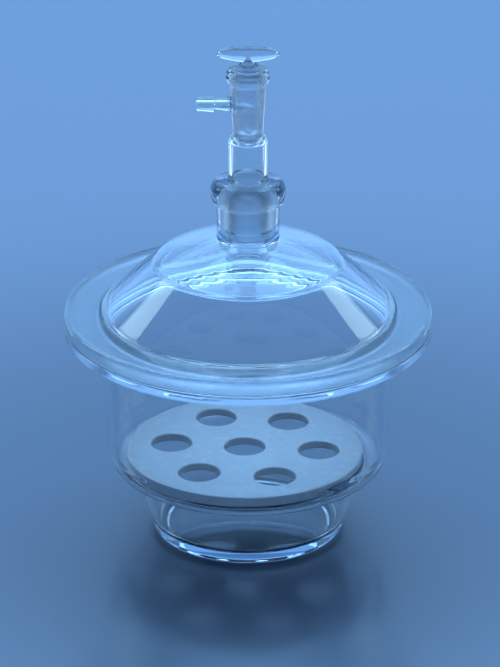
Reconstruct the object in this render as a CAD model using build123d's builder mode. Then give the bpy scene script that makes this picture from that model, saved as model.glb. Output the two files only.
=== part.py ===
"""Vacuum desiccator: glass bowl, perforated porcelain plate, domed glass lid and a
vertical stopcock with a side hose connector.  Millimetres, +Z up, foot on Z = 0."""
import os

from build123d import *

os.makedirs("parts", exist_ok=True)

# ---- heights -------------------------------------------------------------
LEDGE_Z = 46.0              # inside ledge that carries the plate
SHOULDER_Z = 45.0           # height of the shoulder's rounded underside
JOINT_Z = 132.6             # ground faces of bowl and lid meet here
MOUTH_Z = 220.6             # mouth of the lid's neck
PORT_Z = 266.9              # axis of the hose connector
BARREL_TOP_Z = 287.4        # mouth of the stopcock barrel
HANDLE_Z = 296.8            # middle of the T-handle

# ---- flanges -------------------------------------------------------------
FLANGE_R = 107.5            # outside radius of both flanges
GROUND_IN_R = 81.6          # inside radius of both ground faces
BOWL_FLANGE_T = 7.2
LID_FLANGE_T = 8.4
EDGE_BREAK = 0.7            # small rounding where a ground face ends
GREASE_FILM = 0.05          # the greased ground faces stay this far apart

# ---- bowl ----------------------------------------------------------------
FOOT_RECESS = 1.6           # the underside is hollow inside the foot ring
FOOT_IN_R = 47.0
FOOT_OUT_R = 56.4
CHAMBER_TOP_R = 68.8        # drying-agent chamber, outside, just under the shoulder
SHOULDER_R = 82.6           # wall just above the shoulder, outside
WALL_TOP_R = 86.2           # wall just under the flange, outside
WALL_T = 4.4
FLOOR_T = 5.0

# ---- porcelain plate -----------------------------------------------------
PLATE_R = 70.0
PLATE_T = 5.0
PLATE_OFFSET_X = -2.0       # it lies loose on the ledge, a little off centre
PLATE_TURN = -6.7           # degrees, rows of holes against the X axis
HOLE_R = 12.2
HOLE_CIRCLE_R = 44.0

# ---- lid -----------------------------------------------------------------
CONE_FOOT_R = 86.4
BREAK_R = 54.6              # where the steep cone turns into the shallow dome
BREAK_Z = 170.8
DOME_TOP_Z = 186.2          # dome where it meets the neck
DOME_RISE = 1.2             # how far the dome bulges above a straight slope
NECK_R = 17.9
BEAD_R = 21.8
BEAD_Z = 213.6
LID_T = 4.4

# ---- ground joint 24/29: 24 mm at the mouth, 29 mm long, taper 1 in 10 ----
SOCKET_MOUTH_R = 12.0
SOCKET_LENGTH = 29.0
TAPER = 1.0 / 20.0          # radius lost per millimetre of length
GROUND_GAP = 0.04           # radial clearance of each ground taper

# ---- stopcock ------------------------------------------------------------
TUBE_R = 11.5
TUBE_T = 2.2
TUBE_TOP_Z = 247.2
BARREL_LOW_R = 8.95
BARREL_HIGH_R = 10.45
BARREL_HIGH_Z = 279.4
BORE_MOUTH_R = 8.45
KEY_LOW_Z = 250.4
KEY_SHOULDER_Z = 284.4

# ---- hose connector ------------------------------------------------------
HOSE_TIP_X = -29.6
HOSE_TIP_R = 3.9
BARB_R = 4.6
BARB_LAND = 2.0             # short parallel crest of the barb
BARB_END_X = -19.6
HOSE_NECK_R = 3.15
HOSE_ROOT_X = -10.9         # where it flares into the barrel
HOSE_ROOT_R = 4.3
HOSE_BORE_R = 1.6

# ---- key and handle ------------------------------------------------------
STEM_R = 3.8
KEY_NECK_R = 6.1            # thick neck between the plug and the handle
HANDLE_LENGTH = 35.4
HANDLE_HEIGHT = 10.0
HANDLE_DEPTH = 7.8
KEY_BORE_R = 2.0


def socket_radius(z):
    """Radius of the lid's ground socket at height z."""
    return SOCKET_MOUTH_R - (MOUTH_Z - z) * TAPER


def barrel_bore_radius(z):
    """Radius of the stopcock barrel's ground bore at height z."""
    return BORE_MOUTH_R - (BARREL_TOP_Z - z) * TAPER


def round_corner(sketch, corner, radius):
    """Round the corner of the section that lies nearest to the given point."""
    fillet(sketch.vertices().sort_by_distance(corner)[0], radius)


# ---- bowl: foot, drying-agent chamber, shoulder, wall and flange ----------
shelf_low = (CHAMBER_TOP_R, SHOULDER_Z - 4.6)
shelf_out = (SHOULDER_R - 2.0, SHOULDER_Z - 1.8)
wall_low = (SHOULDER_R + 0.6, 54.0)
wall_top = (WALL_TOP_R, JOINT_Z - BOWL_FLANGE_T)
flange_low = (FLANGE_R, JOINT_Z - BOWL_FLANGE_T)
flange_high = (FLANGE_R, JOINT_Z)
ground_in = (GROUND_IN_R, JOINT_Z)
wall_in = (SHOULDER_R + 0.6 - WALL_T, 56.0)
ledge_out = (SHOULDER_R - 5.2, LEDGE_Z)
ledge_in = (CHAMBER_TOP_R - WALL_T, LEDGE_Z)
chamber_floor = (FOOT_OUT_R - WALL_T + 1.0, FOOT_RECESS + FLOOR_T)

with BuildPart() as bowl:
    with BuildSketch(Plane.XZ) as bowl_section:
        with BuildLine():
            Polyline(
                (0, FOOT_RECESS),
                (FOOT_IN_R, FOOT_RECESS),
                (FOOT_IN_R + 2.4, 0),
                (FOOT_OUT_R, 0),
                shelf_low,
                shelf_out,
                wall_low,
                wall_top,
                flange_low,
                flange_high,
                ground_in,
                wall_in,
                ledge_out,
                ledge_in,
                chamber_floor,
                (0, FOOT_RECESS + FLOOR_T),
                close=True,
            )
        make_face()
        round_corner(bowl_section, (FOOT_OUT_R, 0), 3.4)
        round_corner(bowl_section, shelf_low, 4.0)
        round_corner(bowl_section, shelf_out, 6.0)
        round_corner(bowl_section, wall_low, 9.0)
        round_corner(bowl_section, wall_top, 5.0)
        round_corner(bowl_section, flange_low, 2.8)
        round_corner(bowl_section, flange_high, EDGE_BREAK)
        round_corner(bowl_section, ground_in, EDGE_BREAK)
        round_corner(bowl_section, wall_in, 9.0)
        round_corner(bowl_section, ledge_out, 3.0)
        round_corner(bowl_section, ledge_in, 3.0)
        round_corner(bowl_section, chamber_floor, 6.0)
    revolve(axis=Axis.Z)
bowl.part.label = "bowl"

# ---- porcelain plate: one middle hole and six around it -------------------
with BuildPart() as sieve_plate:
    with BuildSketch(Plane.XY.offset(LEDGE_Z)):
        with Locations((PLATE_OFFSET_X, 0)):
            Circle(PLATE_R)
            Circle(HOLE_R, mode=Mode.SUBTRACT)
            with PolarLocations(HOLE_CIRCLE_R, 6, start_angle=PLATE_TURN):
                Circle(HOLE_R, mode=Mode.SUBTRACT)
    extrude(amount=PLATE_T)
    fillet(sieve_plate.edges().filter_by(GeomType.CIRCLE), 0.9)
sieve_plate.part.label = "sieve_plate"

# ---- lid: flange, cone, dome, neck, bead and ground socket ----------------
lid_edge_low = (FLANGE_R, JOINT_Z + GREASE_FILM)
lid_edge_high = (FLANGE_R, JOINT_Z + LID_FLANGE_T)
cone_foot = (CONE_FOOT_R, JOINT_Z + LID_FLANGE_T)
cone_top = (BREAK_R, BREAK_Z)
neck_foot = (NECK_R, DOME_TOP_Z)
neck_top = (NECK_R + 0.6, BEAD_Z - 7.0)
lid_ground_in = (GROUND_IN_R, JOINT_Z + GREASE_FILM)
cone_in_foot = (GROUND_IN_R - 1.2, JOINT_Z + 6.2)
cone_in_top = (BREAK_R - 2.0, BREAK_Z - 4.9)
dome_in_top = (socket_radius(MOUTH_Z - SOCKET_LENGTH) - 0.5, DOME_TOP_Z - LID_T)
socket_low = (dome_in_top[0], MOUTH_Z - SOCKET_LENGTH - 1.5)
socket_foot = (socket_radius(MOUTH_Z - SOCKET_LENGTH), MOUTH_Z - SOCKET_LENGTH)
socket_mouth = (SOCKET_MOUTH_R, MOUTH_Z)

with BuildPart() as lid:
    with BuildSketch(Plane.XZ) as lid_section:
        with BuildLine():
            Polyline(lid_ground_in, lid_edge_low, lid_edge_high, cone_foot, cone_top)
            SagittaArc(cone_top, neck_foot, -DOME_RISE)
            Line(neck_foot, neck_top)
            Spline(
                neck_top,
                (BEAD_R, BEAD_Z),
                (14.8, MOUTH_Z),
                tangents=[(0.9, 0.4), (-1.0, 0.0)],
            )
            Line((14.8, MOUTH_Z), socket_mouth)
            Polyline(socket_mouth, socket_foot, socket_low, dome_in_top)
            SagittaArc(dome_in_top, cone_in_top, DOME_RISE)
            Polyline(cone_in_top, cone_in_foot, lid_ground_in)
        make_face()
        round_corner(lid_section, lid_ground_in, EDGE_BREAK)
        round_corner(lid_section, lid_edge_low, EDGE_BREAK)
        round_corner(lid_section, lid_edge_high, 2.8)
        round_corner(lid_section, cone_foot, 3.5)
        round_corner(lid_section, cone_top, 4.0)
        round_corner(lid_section, neck_foot, 3.0)
        round_corner(lid_section, neck_top, 1.2)
        round_corner(lid_section, cone_in_foot, 3.0)
        round_corner(lid_section, cone_in_top, 4.0)
        round_corner(lid_section, dome_in_top, 1.5)
        round_corner(lid_section, socket_mouth, 0.5)
    revolve(axis=Axis.Z)
lid.part.label = "lid"

# ---- stopcock body: cone, tube, barrel and hose connector, fused ----------
cone_low_z = MOUTH_Z - SOCKET_LENGTH + 1.0
cone_high_z = MOUTH_Z + 1.4
cone_low = (socket_radius(cone_low_z) - GROUND_GAP, cone_low_z)
cone_high = (socket_radius(cone_high_z) - GROUND_GAP, cone_high_z)
cone_low_in = (cone_low[0] - TUBE_T, cone_low_z)
tube_top = (TUBE_R, TUBE_TOP_Z - 1.2)
tube_in_low = (TUBE_R - TUBE_T, cone_high_z + 2.0)
tube_in_top = (TUBE_R - TUBE_T, TUBE_TOP_Z - 2.6)
barrel_low = (BARREL_LOW_R, TUBE_TOP_Z + 1.2)
barrel_high = (BARREL_HIGH_R, BARREL_HIGH_Z)
bore_low = (barrel_bore_radius(TUBE_TOP_Z - 2.6), TUBE_TOP_Z - 2.6)
bore_high = (BORE_MOUTH_R, BARREL_TOP_Z)
# the barrel's rim has two rounded lobes
rim_low = (12.3, BARREL_TOP_Z - 6.5)
rim_bulge = (12.8, BARREL_TOP_Z - 3.8)
rim_waist = (11.9, BARREL_TOP_Z - 2.4)
rim_upper = (12.3, BARREL_TOP_Z - 0.8)
rim_top = (11.4, BARREL_TOP_Z + 0.4)
rim_lip = (9.4, BARREL_TOP_Z + 0.4)

hose_tip = (HOSE_TIP_X, PORT_Z + HOSE_TIP_R)
barb_crest = (BARB_END_X - BARB_LAND, PORT_Z + BARB_R)
barb_end = (BARB_END_X, PORT_Z + BARB_R)
barb_foot = (BARB_END_X + 0.8, PORT_Z + HOSE_NECK_R)
hose_neck = (BARB_END_X + 1.8, PORT_Z + HOSE_NECK_R)
hose_root = (HOSE_ROOT_X, PORT_Z + HOSE_ROOT_R)
hose_flare = (HOSE_ROOT_X + 1.6, PORT_Z + HOSE_ROOT_R + 0.9)
hose_inside = (HOSE_ROOT_X + 3.0, PORT_Z + HOSE_ROOT_R + 0.9)

with BuildPart() as stopcock_body:
    with BuildSketch(Plane.XZ) as body_section:
        with BuildLine():
            Polyline(
                cone_low_in,
                cone_low,
                cone_high,
                (TUBE_R, cone_high_z + 1.2),
                tube_top,
                barrel_low,
                barrel_high,
                rim_low,
                rim_bulge,
                rim_waist,
                rim_upper,
                rim_top,
                rim_lip,
                bore_high,
                bore_low,
                tube_in_top,
                tube_in_low,
                close=True,
            )
        make_face()
        round_corner(body_section, cone_low, 0.6)
        round_corner(body_section, cone_low_in, 0.6)
        round_corner(body_section, cone_high, 0.5)
        round_corner(body_section, tube_top, 2.0)
        round_corner(body_section, barrel_low, 1.0)
        round_corner(body_section, barrel_high, 1.5)
        round_corner(body_section, rim_low, 1.0)
        round_corner(body_section, rim_bulge, 1.0)
        round_corner(body_section, rim_waist, 0.5)
        round_corner(body_section, rim_upper, 0.7)
        round_corner(body_section, rim_top, 0.6)
        round_corner(body_section, bore_low, 0.6)
        round_corner(body_section, tube_in_top, 1.4)
    revolve(axis=Axis.Z)
    with BuildSketch(Plane.XZ) as hose_section:
        with BuildLine():
            Polyline(
                (HOSE_TIP_X, PORT_Z),
                hose_tip,
                barb_crest,
                barb_end,
                barb_foot,
                hose_neck,
                hose_root,
                hose_flare,
                hose_inside,
                (hose_inside[0], PORT_Z),
                close=True,
            )
        make_face()
        round_corner(hose_section, hose_tip, 0.6)
        round_corner(hose_section, barb_end, 0.3)
        round_corner(hose_section, barb_foot, 0.4)
        round_corner(hose_section, hose_neck, 2.0)
        round_corner(hose_section, hose_root, 2.5)
    revolve(axis=Axis((0, 0, PORT_Z), (1, 0, 0)))
    with BuildSketch(Plane.YZ.offset(HOSE_TIP_X)):
        with Locations((0, PORT_Z)):
            Circle(HOSE_BORE_R)
    extrude(amount=-HOSE_TIP_X - BORE_MOUTH_R / 2, mode=Mode.SUBTRACT)
stopcock_body.part.label = "stopcock_body"

# ---- stopcock key: tapered plug with an angled passage, stem and handle ---
plug_low = (barrel_bore_radius(KEY_LOW_Z) - GROUND_GAP, KEY_LOW_Z)
key_neck_low = (KEY_NECK_R, KEY_SHOULDER_Z + 1.2)
key_neck_high = (KEY_NECK_R - 0.1, HANDLE_Z - 6.4)
stem_low = (STEM_R, HANDLE_Z - 3.6)
plug_high = (barrel_bore_radius(KEY_SHOULDER_Z) - GROUND_GAP, KEY_SHOULDER_Z)

# oval handle: place along X, half depth, and top and bottom against its middle height
handle_half = (
    (7.0, 3.7, 4.8, -4.1),
    (12.0, 3.2, 4.0, -3.0),
    (15.4, 2.6, 3.0, -1.9),
    (17.0, 1.7, 2.1, -1.1),
    (HANDLE_LENGTH / 2, 0.7, 1.2, -0.2),
)
handle_stations = [(-x, depth, top, bottom) for x, depth, top, bottom in reversed(handle_half)]
handle_stations.append((0.0, HANDLE_DEPTH / 2, HANDLE_HEIGHT / 2, -HANDLE_HEIGHT / 2))
handle_stations.extend(handle_half)

with BuildPart() as stopcock_key:
    for x, half_depth, top, bottom in handle_stations:
        with BuildSketch(Plane.YZ.offset(x)):
            with Locations((0, HANDLE_Z + (top + bottom) / 2)):
                Ellipse(half_depth, (top - bottom) / 2)
    loft()
    with BuildSketch(Plane.XZ) as key_section:
        with BuildLine():
            Polyline(
                (0, KEY_LOW_Z),
                plug_low,
                plug_high,
                key_neck_low,
                key_neck_high,
                stem_low,
                (STEM_R, HANDLE_Z),
                (0, HANDLE_Z),
                close=True,
            )
        make_face()
        round_corner(key_section, plug_low, 0.6)
        round_corner(key_section, plug_high, 0.8)
        round_corner(key_section, key_neck_low, 0.8)
        round_corner(key_section, key_neck_high, 1.5)
        round_corner(key_section, stem_low, 1.0)
    revolve(axis=Axis.Z)
    with BuildSketch(Plane.XY.offset(KEY_LOW_Z)):
        Circle(KEY_BORE_R)
    extrude(amount=PORT_Z - KEY_LOW_Z, mode=Mode.SUBTRACT)
    with BuildSketch(Plane.YZ):
        with Locations((0, PORT_Z)):
            Circle(KEY_BORE_R)
    extrude(amount=-BORE_MOUTH_R, mode=Mode.SUBTRACT)
stopcock_key.part.label = "stopcock_key"

export_step(bowl.part, "parts/bowl.step")
export_step(sieve_plate.part, "parts/sieve_plate.step")
export_step(lid.part, "parts/lid.step")
export_step(stopcock_body.part, "parts/stopcock_body.step")
export_step(stopcock_key.part, "parts/stopcock_key.step")
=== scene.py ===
"""Looks of the glass desiccator: materials, blue studio light, blue floor with painted shade around the
foot, and camera.
"""
import math

import bmesh
import bpy
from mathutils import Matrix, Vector


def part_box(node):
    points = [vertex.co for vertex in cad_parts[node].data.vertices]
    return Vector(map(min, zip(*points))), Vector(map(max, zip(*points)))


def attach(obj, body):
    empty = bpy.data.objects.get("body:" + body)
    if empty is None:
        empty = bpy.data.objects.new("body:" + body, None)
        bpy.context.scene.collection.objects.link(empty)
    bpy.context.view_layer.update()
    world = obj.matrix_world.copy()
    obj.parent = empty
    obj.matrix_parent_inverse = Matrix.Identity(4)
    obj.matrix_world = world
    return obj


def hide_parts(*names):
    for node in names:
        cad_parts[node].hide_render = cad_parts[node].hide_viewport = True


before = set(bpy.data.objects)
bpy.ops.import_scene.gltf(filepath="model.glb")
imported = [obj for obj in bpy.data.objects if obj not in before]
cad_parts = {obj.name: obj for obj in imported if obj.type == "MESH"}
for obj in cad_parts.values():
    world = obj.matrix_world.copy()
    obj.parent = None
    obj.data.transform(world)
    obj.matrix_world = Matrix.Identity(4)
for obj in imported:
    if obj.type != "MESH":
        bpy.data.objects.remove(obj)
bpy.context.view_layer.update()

# ---- heights and radii, in metres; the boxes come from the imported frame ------
MM = 0.001
JOINT_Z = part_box("bowl")[1].z           # ground face of the bowl
LID_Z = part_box("lid")[0].z              # ground face of the lid
MOUTH_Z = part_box("lid")[1].z            # mouth of the lid's neck
FLANGE_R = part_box("bowl")[1].x
LEDGE_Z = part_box("sieve_plate")[0].z    # the plate lies on the bowl's ledge
RIM_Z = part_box("stopcock_body")[1].z    # top of the stopcock's rim
HANDLE_TOP_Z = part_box("stopcock_key")[1].z

SOCKET_LENGTH = 29 * MM                 # ground socket 24/29
SOCKET_DEPTH = 33.5 * MM                # the grinding runs a little past the joint
SOCKET_MAX_R = 12.5 * MM
CONE_TOP_Z = MOUTH_Z + 1.3 * MM
CONE_MIN_R = 9.9 * MM                   # the hollow of the cone is narrower than this
BORE_LOW_Z = RIM_Z - 42.6 * MM
BORE_MAX_R = 8.7 * MM
PLUG_TOP_Z = HANDLE_TOP_Z - 17.5 * MM
KEY_BORE_R = 2.1 * MM
SOFT_EDGE = 0.25 * MM                   # width over which a ground zone fades out
FLANGE_CLEAR = 12 * MM                  # height from a joint face within which walls are round
SWAY_FADE = 20 * MM                     # and the height over which the sway sets in

GLASS_IOR = 1.474
GLASS_TINT = (0.60, 0.74, 0.86, 1.0)    # what the glass lets through, with the density below
GLASS_DENSITY = 18.0
CLEAR_COLOUR = (0.985, 0.995, 1.0, 1.0)
GROUND_COLOUR = (0.97, 0.985, 1.0, 1.0)
COARSE_GRIND = 0.52                     # roughness of the stopcock's cone and bore
SOCKET_GRIND = 0.38                     # roughness of the lid's socket and flange face
FINE_GRIND = 0.20                       # roughness of the bowl's flange face and the plug
GRIND_SPREAD = 0.04                     # how far patches differ from these
WAVE_STRENGTH = 0.05                    # gentle waves of blown glass
GRAIN_STRENGTH = 0.15                   # grain of the ground faces
GLAZE_PALE = (0.88, 0.885, 0.88, 1.0)
GLAZE_DEEP = (0.855, 0.86, 0.865, 1.0)
SPECK_COLOUR = (0.42, 0.38, 0.34, 1.0)

# ---- the glass sections, in millimetres --------------------------------------
BOWL_FLANGE_T = 7.2
LID_FLANGE_T = 8.4
GROUND_IN_R = 81.6                      # inside radius of both ground faces
EDGE_BREAK = 0.7                        # small rounding where a ground face ends
FLANGE_EDGE = 2.8                       # rounding of the other flange edges
INSIDE_BOX = 0.01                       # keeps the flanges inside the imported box
GREASE_FILM = 0.05                      # gap between the ground faces
FOOT_RECESS = 1.6                       # the underside is hollow inside the foot ring
FOOT_IN_R = 47.0
FOOT_OUT_R = 56.4
FLOOR_TOP = 6.6                         # upper face of the bowl's floor
BREAK = (54.6, 170.8)                   # where the steep cone turns into the dome
DOME_TOP = (17.9, 186.2)                # where the dome meets the neck
BREAK_INSIDE = (52.6, 165.9)
DOME_INSIDE_TOP_Z = 181.8
DOME_RISE = 1.2                         # how far the dome bulges above a straight slope
SOCKET_MOUTH_R = 12.0
SOCKET_STEP = 0.5                       # the neck is a little narrower below the socket
BEAD_CORE_R = 14.6
BEAD_REACH = 7.2                        # the bead stands out this far from its core
BEAD_SQUARENESS = 0.7                   # below 1 is squarer than an ellipse
BEAD_DEPTH = 7.0                        # middle of the bead below the mouth
BEAD_DROP = 8.8                         # lower half of the bead, before it meets the neck
TAPER = 20                              # length over which the socket's radius loses 1 mm
SWAY = 0.07                             # blown walls are out of round by at most twice this
NECK_CLEAR = 22.0                       # radius inside which the lid is round
NECK_FADE = 12.0                        # and the distance over which the sway sets in

TURNS = 288                             # steps round each blown or pressed piece
ARC_STEP = math.radians(9)              # step of a rounded corner in a section
LONGEST_STEP = 2.0                      # longest straight step in a section
DOME_STEPS = 9
ON_AXIS = 1e-6

# ---- camera, floor and light --------------------------------------------------
CAMERA_PLACE = (0.0011, -2.0, 1.0195)
CAMERA_PITCH = 24.14                    # degrees below the horizontal
CAMERA_LENS = 201.5
FLOOR_HALF = 6.0
FLOOR_PAINTED_SHADE = (0.070, 0.100, 0.155, 1.0) # painted shade: the floor is darker around the foot
FLOOR_PALE = (0.200, 0.240, 0.330, 1.0) # further out
FLOOR_FADE = (0.10, 0.55)               # radii between which the painted shade around the foot turns into the pale floor
AIM = (0, 0, 0.15)                      # middle of the object
SKY_BLUE = (0.29, 0.60, 1.0)
BOX_WHITE = (0.62, 0.93, 1.0)
CARD_WHITE = (0.70, 0.95, 1.0)
ROOM_FRONT = (0.10, 0.18, 0.32, 1)
ROOM_BACK = (0.13, 0.25, 0.48, 1)

# Three panels behind and above, a fill behind the camera, a box on each side, and a card
# on the floor on each side: name, place, target, width, height, watts, colour.
LIGHTS = [
    ("low_panel", (0, 1.35, 0.42), (0, 0, 0.35), 3.2, 0.8, 6, (0.25, 0.54, 1.0)),
    ("high_panel", (0, 1.25, 1.38), AIM, 2.4, 1.1, 19, SKY_BLUE),
    ("top_panel", (0, 0.62, 1.98), AIM, 1.8, 0.9, 23, SKY_BLUE),
    ("front_fill", (0, -2.1, 1.75), AIM, 1.6, 0.8, 8, (0.27, 0.57, 1.0)),
    ("left_box", (-1.17, 0.61, 1.05), AIM, 0.40, 0.9, 3.4, BOX_WHITE),
    ("right_box", (1.17, 0.61, 1.05), AIM, 0.40, 0.9, 3.4, BOX_WHITE),
    ("left_card", (-0.36, 0.42, 0.002), (-0.36, 0.42, 1.0), 0.18, 0.40, 0.25, CARD_WHITE),
    ("right_card", (0.36, 0.42, 0.002), (0.36, 0.42, 1.0), 0.18, 0.40, 0.25, CARD_WHITE),
]


# ---- lathe work -------------------------------------------------------------
def rounded_section(corners):
    """Points (r, z) in millimetres along a section given as (r, z, rounding radius) corners."""
    points = []
    count = len(corners)
    for i, (r, z, radius) in enumerate(corners):
        here = Vector((r, z))
        back = Vector(corners[i - 1][:2]) - here
        ahead = Vector(corners[(i + 1) % count][:2]) - here
        if radius == 0:
            points.append(here)
            continue
        half = back.angle(ahead) / 2
        reach = radius / math.tan(half)
        centre = here + (back.normalized() + ahead.normalized()).normalized() * (radius / math.sin(half))
        first = here + back.normalized() * reach - centre
        last = here + ahead.normalized() * reach - centre
        sweep = first.angle_signed(last)
        steps = max(2, round(abs(sweep) / ARC_STEP))
        for k in range(steps + 1):
            turn = -sweep * k / steps
            x = first.x * math.cos(turn) - first.y * math.sin(turn)
            y = first.x * math.sin(turn) + first.y * math.cos(turn)
            points.append(centre + Vector((x, y)))
    dense = []
    for i, point in enumerate(points):
        gap = points[(i + 1) % len(points)] - point
        pieces = max(1, math.ceil(gap.length / LONGEST_STEP))
        if max(point.x, points[(i + 1) % len(points)].x) < ON_AXIS:
            pieces = 1
        for k in range(pieces):
            dense.append(point + gap * (k / pieces))
    return dense


def hand_sway(r, z, angle):
    """Slight out-of-round of blown walls, none at the flanges, the neck and the foot."""
    height = z * MM
    if height > LID_Z:
        above_flange = min(1.0, max(0.0, (height - LID_Z - FLANGE_CLEAR) / SWAY_FADE))
        fade = above_flange * min(1.0, max(0.0, r - NECK_CLEAR) / NECK_FADE)
    else:
        below_flange = min(1.0, max(0.0, (JOINT_Z - FLANGE_CLEAR - height) / SWAY_FADE))
        fade = below_flange * min(1.0, height / SWAY_FADE)
    waves = math.sin(3 * angle + 0.05 * z)
    waves += 0.6 * math.sin(5 * angle - 0.03 * z + 1.0)
    waves += 0.4 * math.sin(8 * angle + 2.1)
    return SWAY * fade * waves


def lathe(name, section):
    """A closed mesh turned about Z from a closed section of (r, z) points in millimetres."""
    mesh = bpy.data.meshes.new(name)
    form = bmesh.new()
    rings = []
    for point in section:
        if point.x < ON_AXIS:
            rings.append([form.verts.new((0, 0, point.y * MM))])
            continue
        ring = []
        for k in range(TURNS):
            angle = 2 * math.pi * k / TURNS
            r = point.x + hand_sway(point.x, point.y, angle)
            place = (r * MM * math.cos(angle), r * MM * math.sin(angle), point.y * MM)
            ring.append(form.verts.new(place))
        rings.append(ring)
    for i, low in enumerate(rings):
        high = rings[(i + 1) % len(rings)]
        if len(low) == 1 and len(high) == 1:
            continue
        for k in range(TURNS):
            after = k + 1
            unique = []
            for corner in (low[k % len(low)], low[after % len(low)],
                           high[after % len(high)], high[k % len(high)]):
                if corner not in unique:
                    unique.append(corner)
            form.faces.new(unique)
    bmesh.ops.recalc_face_normals(form, faces=form.faces)
    for face in form.faces:
        face.smooth = True
    form.to_mesh(mesh)
    form.free()
    piece = bpy.data.objects.new(name, mesh)
    bpy.context.scene.collection.objects.link(piece)
    return piece


def stand_for(piece, node, body, material):
    """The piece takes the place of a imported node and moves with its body."""
    piece.data.materials.append(material)
    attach(piece, body)
    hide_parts(node)


# ---- small helpers for node materials --------------------------------------
class Nodes:
    """A material with short calls that add nodes and return their outputs."""

    def __init__(self, name):
        self.material = bpy.data.materials.new(name)
        self.material.use_nodes = True
        self.tree = self.material.node_tree
        self.shader = self.tree.nodes["Principled BSDF"]
        self.output = self.tree.nodes["Material Output"]

    def add(self, kind, **settings):
        node = self.tree.nodes.new(kind)
        for key, value in settings.items():
            setattr(node, key, value)
        return node

    def link(self, source, target):
        self.tree.links.new(source, target)

    def set(self, node, **values):
        for key, value in values.items():
            socket = node.inputs[key.replace("_", " ")]
            if isinstance(value, bpy.types.NodeSocket):
                self.link(value, socket)
            else:
                socket.default_value = value

    def math(self, operation, a, b=0.0):
        node = self.add("ShaderNodeMath", operation=operation)
        for socket, value in zip(node.inputs, (a, b)):
            if isinstance(value, bpy.types.NodeSocket):
                self.link(value, socket)
            else:
                socket.default_value = value
        return node.outputs[0]

    def place(self):
        """Object coordinates: the point's place in the frame at rest."""
        return self.add("ShaderNodeTexCoord").outputs["Object"]

    def height_and_radius(self):
        """Height above the foot and distance from the axis, at rest."""
        split = self.add("ShaderNodeSeparateXYZ")
        self.link(self.place(), split.inputs[0])
        x_squared = self.math("POWER", split.outputs[0], 2.0)
        y_squared = self.math("POWER", split.outputs[1], 2.0)
        return split.outputs[2], self.math("SQRT", self.math("ADD", x_squared, y_squared))

    def above(self, value, limit):
        """0 below the limit and 1 above it, with a soft edge."""
        node = self.add("ShaderNodeMapRange", interpolation_type="SMOOTHSTEP")
        self.link(value, node.inputs["Value"])
        node.inputs["From Min"].default_value = limit - SOFT_EDGE / 2
        node.inputs["From Max"].default_value = limit + SOFT_EDGE / 2
        return node.outputs[0]

    def below(self, value, limit):
        return self.math("SUBTRACT", 1.0, self.above(value, limit))

    def noise(self, scale, detail=2.0, roughness=0.5, distortion=0.0):
        node = self.add("ShaderNodeTexNoise")
        self.link(self.place(), node.inputs["Vector"])
        node.inputs["Scale"].default_value = scale
        node.inputs["Detail"].default_value = detail
        node.inputs["Roughness"].default_value = roughness
        node.inputs["Distortion"].default_value = distortion
        return node.outputs[0]

    def span(self, value, low, high, from_low=0.0, from_high=1.0):
        """Maps from_low..from_high onto low..high."""
        node = self.add("ShaderNodeMapRange")
        self.link(value, node.inputs["Value"])
        node.inputs["From Min"].default_value = from_low
        node.inputs["From Max"].default_value = from_high
        for key, bound in (("To Min", low), ("To Max", high)):
            if isinstance(bound, bpy.types.NodeSocket):
                self.link(bound, node.inputs[key])
            else:
                node.inputs[key].default_value = bound
        return node.outputs[0]

    def bump(self, height, strength, distance, under=None):
        node = self.add("ShaderNodeBump")
        self.link(height, node.inputs["Height"])
        node.inputs["Distance"].default_value = distance
        if isinstance(strength, bpy.types.NodeSocket):
            self.link(strength, node.inputs["Strength"])
        else:
            node.inputs["Strength"].default_value = strength
        if under is not None:
            self.link(under, node.inputs["Normal"])
        return node.outputs[0]


def glass(name, ground_zone, grind):
    """Clear lab glass; ground_zone(nodes) gives 1 where it is ground, with roughness grind."""
    n = Nodes(name)
    ground = ground_zone(n)
    grain = n.noise(2600.0, 3.0, 0.6)
    patches = n.noise(160.0, 3.0, 0.55)
    ground_rough = n.span(patches, grind - GRIND_SPREAD, grind + GRIND_SPREAD, 0.3, 0.7)
    clear_rough = n.span(n.noise(45.0, 3.0, 0.6), 0.0, 0.018, 0.45, 0.8)
    roughness = n.span(ground, clear_rough, ground_rough)
    waves = n.bump(n.noise(38.0, 1.5, 0.4, 0.4), WAVE_STRENGTH, 0.0009)
    normal = n.bump(grain, n.math("MULTIPLY", ground, GRAIN_STRENGTH), 0.00008, waves)
    colour = n.add("ShaderNodeMix", data_type="RGBA")
    n.link(ground, colour.inputs["Factor"])
    colour.inputs["A"].default_value = CLEAR_COLOUR
    colour.inputs["B"].default_value = GROUND_COLOUR
    n.set(n.shader, Base_Color=colour.outputs["Result"], Roughness=roughness, Normal=normal)
    n.set(n.shader, IOR=GLASS_IOR, Transmission_Weight=1.0)
    absorb = n.add("ShaderNodeVolumeAbsorption")
    n.set(absorb, Color=GLASS_TINT, Density=GLASS_DENSITY)
    n.link(absorb.outputs[0], n.output.inputs["Volume"])
    return n.material


def bowl_ground(n):
    height = n.height_and_radius()[0]
    return n.above(height, JOINT_Z - SOFT_EDGE)


def lid_ground(n):
    height, radius = n.height_and_radius()
    face = n.below(height, LID_Z + SOFT_EDGE)
    socket = n.math("MULTIPLY", n.below(radius, SOCKET_MAX_R), n.above(height, MOUTH_Z - SOCKET_DEPTH))
    return n.math("MAXIMUM", face, socket)


def stopcock_ground(n):
    height, radius = n.height_and_radius()
    cone = n.math("MULTIPLY", n.below(height, CONE_TOP_Z), n.above(radius, CONE_MIN_R))
    bore = n.math("MULTIPLY", n.above(height, BORE_LOW_Z), n.below(radius, BORE_MAX_R))
    return n.math("MAXIMUM", cone, bore)


def key_ground(n):
    height, radius = n.height_and_radius()
    return n.math("MULTIPLY", n.below(height, PLUG_TOP_Z), n.above(radius, KEY_BORE_R))


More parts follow.
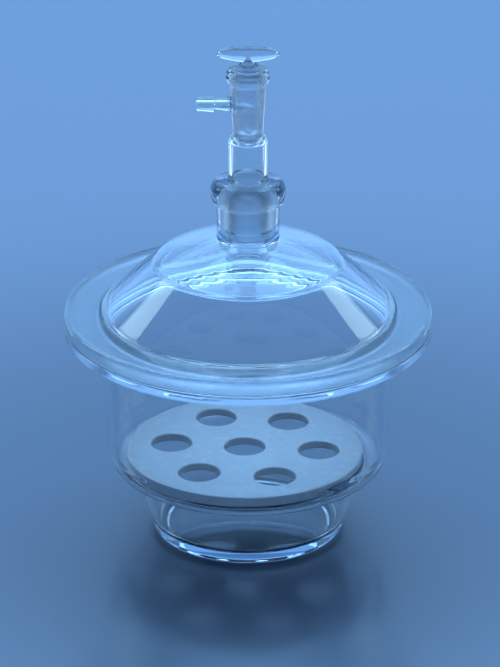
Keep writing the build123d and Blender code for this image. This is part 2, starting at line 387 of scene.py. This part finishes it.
def porcelain():
    """White glazed porcelain with a faint mottle and an uneven, glossy glaze."""
    n = Nodes("white_glazed_porcelain")
    mottle = n.noise(55.0, 4.0, 0.6)
    ramp = n.add("ShaderNodeValToRGB")
    n.link(mottle, ramp.inputs[0])
    ramp.color_ramp.elements[0].position = 0.30
    ramp.color_ramp.elements[0].color = GLAZE_DEEP
    ramp.color_ramp.elements[1].position = 0.70
    ramp.color_ramp.elements[1].color = GLAZE_PALE
    specks = n.above(n.noise(620.0, 1.0), 0.735)
    speckled = n.add("ShaderNodeMix", data_type="RGBA")
    n.link(n.math("MULTIPLY", specks, 0.35), speckled.inputs["Factor"])
    n.link(ramp.outputs[0], speckled.inputs["A"])
    speckled.inputs["B"].default_value = SPECK_COLOUR
    roughness = n.span(n.noise(120.0, 3.0), 0.16, 0.30, 0.35, 0.65)
    flow = n.bump(n.noise(26.0, 2.0, 0.5, 0.6), 0.25, 0.0006)
    peel = n.bump(n.noise(420.0, 2.0), 0.10, 0.00015, flow)
    n.set(n.shader, Base_Color=speckled.outputs["Result"], Roughness=roughness, Normal=peel)
    n.set(n.shader, IOR=1.52, Coat_Weight=0.6, Coat_Roughness=0.06)
    n.set(n.shader, Subsurface_Weight=0.08, Subsurface_Scale=0.004)
    return n.material


# ---- bowl and lid -----------------------------------------------------------
def bowl():
    joint = JOINT_Z / MM
    ledge = LEDGE_Z / MM
    flange = FLANGE_R / MM - INSIDE_BOX
    # outside from the foot up to the flange, then back down the inside: radius, height, rounding
    return lathe("glass_bowl", rounded_section([
        (0, FOOT_RECESS, 0),
        (FOOT_IN_R, FOOT_RECESS, 1.5),
        (49.4, 0, 0.8),                         # foot ring
        (FOOT_OUT_R, 0, 3.4),
        (68.8, ledge - 5.6, 4.0),               # top of the lower chamber
        (80.6, ledge - 2.8, 6.0),               # shoulder
        (83.2, 54.0, 9.0),
        (86.2, joint - BOWL_FLANGE_T, 5.0),     # top of the wall
        (flange, joint - BOWL_FLANGE_T, FLANGE_EDGE),
        (flange, joint, EDGE_BREAK),
        (GROUND_IN_R, joint, EDGE_BREAK),
        (78.8, 56.0, 9.0),
        (77.4, ledge, 3.0),                     # ledge under the plate
        (64.4, ledge, 3.0),
        (53.0, FLOOR_TOP, 6.0),                 # lower chamber
        (0, FLOOR_TOP, 0),
    ]))


def dome_points(start, end):
    """Sharp points along a shallow arc from start to end that bulges upward by the dome's rise."""
    points = []
    for k in range(1, DOME_STEPS):
        t = k / DOME_STEPS
        r = start[0] + (end[0] - start[0]) * t
        z = start[1] + (end[1] - start[1]) * t + 4 * DOME_RISE * t * (1 - t)
        points.append((r, z, 0))
    return points


def bead_points(mouth):
    """Sharp points up the squarish bead at the mouth of the neck."""
    points = []
    for degrees in range(-50, 91, 10):
        angle = math.radians(degrees)
        height = BEAD_DEPTH if degrees > 0 else BEAD_DROP
        r = BEAD_CORE_R + BEAD_REACH * math.cos(angle) ** BEAD_SQUARENESS
        points.append((r, mouth - BEAD_DEPTH + height * math.sin(angle), 0))
    return points


def lid():
    face = LID_Z / MM
    mouth = MOUTH_Z / MM
    flange = FLANGE_R / MM - INSIDE_BOX
    joint = face - GREASE_FILM
    top = joint + LID_FLANGE_T
    socket_r = SOCKET_MOUTH_R - SOCKET_LENGTH / MM / TAPER
    socket_z = mouth - SOCKET_LENGTH / MM
    neck_r = socket_r - SOCKET_STEP
    # outside from the flange up to the bead, then down the socket and inside: radius, height, rounding
    return lathe("glass_lid", rounded_section([
        (GROUND_IN_R, face, EDGE_BREAK),
        (flange, face, EDGE_BREAK),
        (flange, top, FLANGE_EDGE),
        (86.4, top, 3.5),                       # foot of the cone
        (*BREAK, 4.0),
        *dome_points(BREAK, DOME_TOP),
        (*DOME_TOP, 2.0),
        (18.5, mouth - 14.0, 0.6),              # neck, just under the bead
        *bead_points(mouth),
        (SOCKET_MOUTH_R, mouth, 0.5),
        (socket_r, socket_z, 0.3),
        (neck_r, socket_z - 1.5, 0.6),
        (neck_r, DOME_INSIDE_TOP_Z, 1.5),
        *dome_points((neck_r, DOME_INSIDE_TOP_Z), BREAK_INSIDE),
        (*BREAK_INSIDE, 4.0),
        (80.4, joint + 6.2, 3.0),
    ]))


def paint(node, material):
    """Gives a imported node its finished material, and no other."""
    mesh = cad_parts[node].data
    mesh.materials.clear()
    mesh.materials.append(material)


stand_for(bowl(), "bowl", "bowl", glass("bowl_clear_glass", bowl_ground, FINE_GRIND))
stand_for(lid(), "lid", "lid", glass("lid_clear_glass", lid_ground, SOCKET_GRIND))
paint("stopcock_body", glass("stopcock_clear_glass", stopcock_ground, COARSE_GRIND))
paint("stopcock_key", glass("key_clear_glass", key_ground, FINE_GRIND))
paint("sieve_plate", porcelain())


# ---- floor, light and camera -----------------------------------------------
def floor():
    half = FLOOR_HALF
    mesh = bpy.data.meshes.new("floor")
    corners = [(-half, -half, 0), (half, -half, 0), (half, half, 0), (-half, half, 0)]
    mesh.from_pydata(corners, [], [(0, 1, 2, 3)])
    plane = bpy.data.objects.new("floor", mesh)
    bpy.context.scene.collection.objects.link(plane)
    n = Nodes("pale_blue_floor_with_painted_shade")
    radius = n.height_and_radius()[1]
    # painted shade: the floor's colour is darker around the foot and turns pale further out
    ramp = n.add("ShaderNodeValToRGB")
    ramp.color_ramp.interpolation = "EASE"
    n.link(n.span(radius, 0.0, 1.0, *FLOOR_FADE), ramp.inputs[0])
    ramp.color_ramp.elements[0].color = FLOOR_PAINTED_SHADE
    ramp.color_ramp.elements[1].color = FLOOR_PALE
    n.set(n.shader, Base_Color=ramp.outputs[0], Roughness=0.5)
    n.set(n.shader, Coat_Weight=0.7, Coat_Roughness=0.18, Coat_IOR=1.6)
    mesh.materials.append(n.material)


def area_light(name, place, target, width, height, watts, colour):
    data = bpy.data.lights.new(name, "AREA")
    data.shape = "RECTANGLE"
    data.size = width
    data.size_y = height
    data.energy = watts
    data.color = colour
    lamp = bpy.data.objects.new(name, data)
    lamp.location = place
    lamp.rotation_euler = (Vector(target) - Vector(place)).to_track_quat("-Z", "Y").to_euler()
    lamp.visible_camera = False
    bpy.context.scene.collection.objects.link(lamp)


def studio():
    """The lights above and a room that is a little brighter behind than in front."""
    for light in LIGHTS:
        area_light(*light)
    world = bpy.data.worlds.new("studio_air")
    world.use_nodes = True
    tree = world.node_tree
    background = tree.nodes["Background"]
    coordinate = tree.nodes.new("ShaderNodeTexCoord")
    split = tree.nodes.new("ShaderNodeSeparateXYZ")
    tree.links.new(coordinate.outputs["Generated"], split.inputs[0])
    ramp = tree.nodes.new("ShaderNodeValToRGB")
    shade = tree.nodes.new("ShaderNodeMapRange")
    shade.inputs["From Min"].default_value = -1.0
    tree.links.new(split.outputs[1], shade.inputs["Value"])
    tree.links.new(shade.outputs[0], ramp.inputs[0])
    ramp.color_ramp.elements[0].position = 0.2
    ramp.color_ramp.elements[0].color = ROOM_FRONT
    ramp.color_ramp.elements[1].position = 0.9
    ramp.color_ramp.elements[1].color = ROOM_BACK
    tree.links.new(ramp.outputs[0], background.inputs["Color"])
    background.inputs["Strength"].default_value = 1.0
    bpy.context.scene.world = world


def camera():
    data = bpy.data.cameras.new("camera")
    data.lens = CAMERA_LENS
    data.sensor_width = 36.0
    data.clip_end = 50.0
    eye = bpy.data.objects.new("camera", data)
    eye.location = CAMERA_PLACE
    eye.rotation_euler = (math.radians(90.0 - CAMERA_PITCH), 0, 0)
    bpy.context.scene.collection.objects.link(eye)
    bpy.context.scene.camera = eye


floor()
studio()
camera()

scene = bpy.context.scene
scene.cycles.max_bounces = 24
scene.cycles.transmission_bounces = 20
scene.cycles.glossy_bounces = 12
scene.cycles.transparent_max_bounces = 16
scene.cycles.volume_bounces = 0
scene.cycles.sample_clamp_indirect = 6.0
scene.cycles.use_denoising = True
scene.view_settings.view_transform = "Standard"
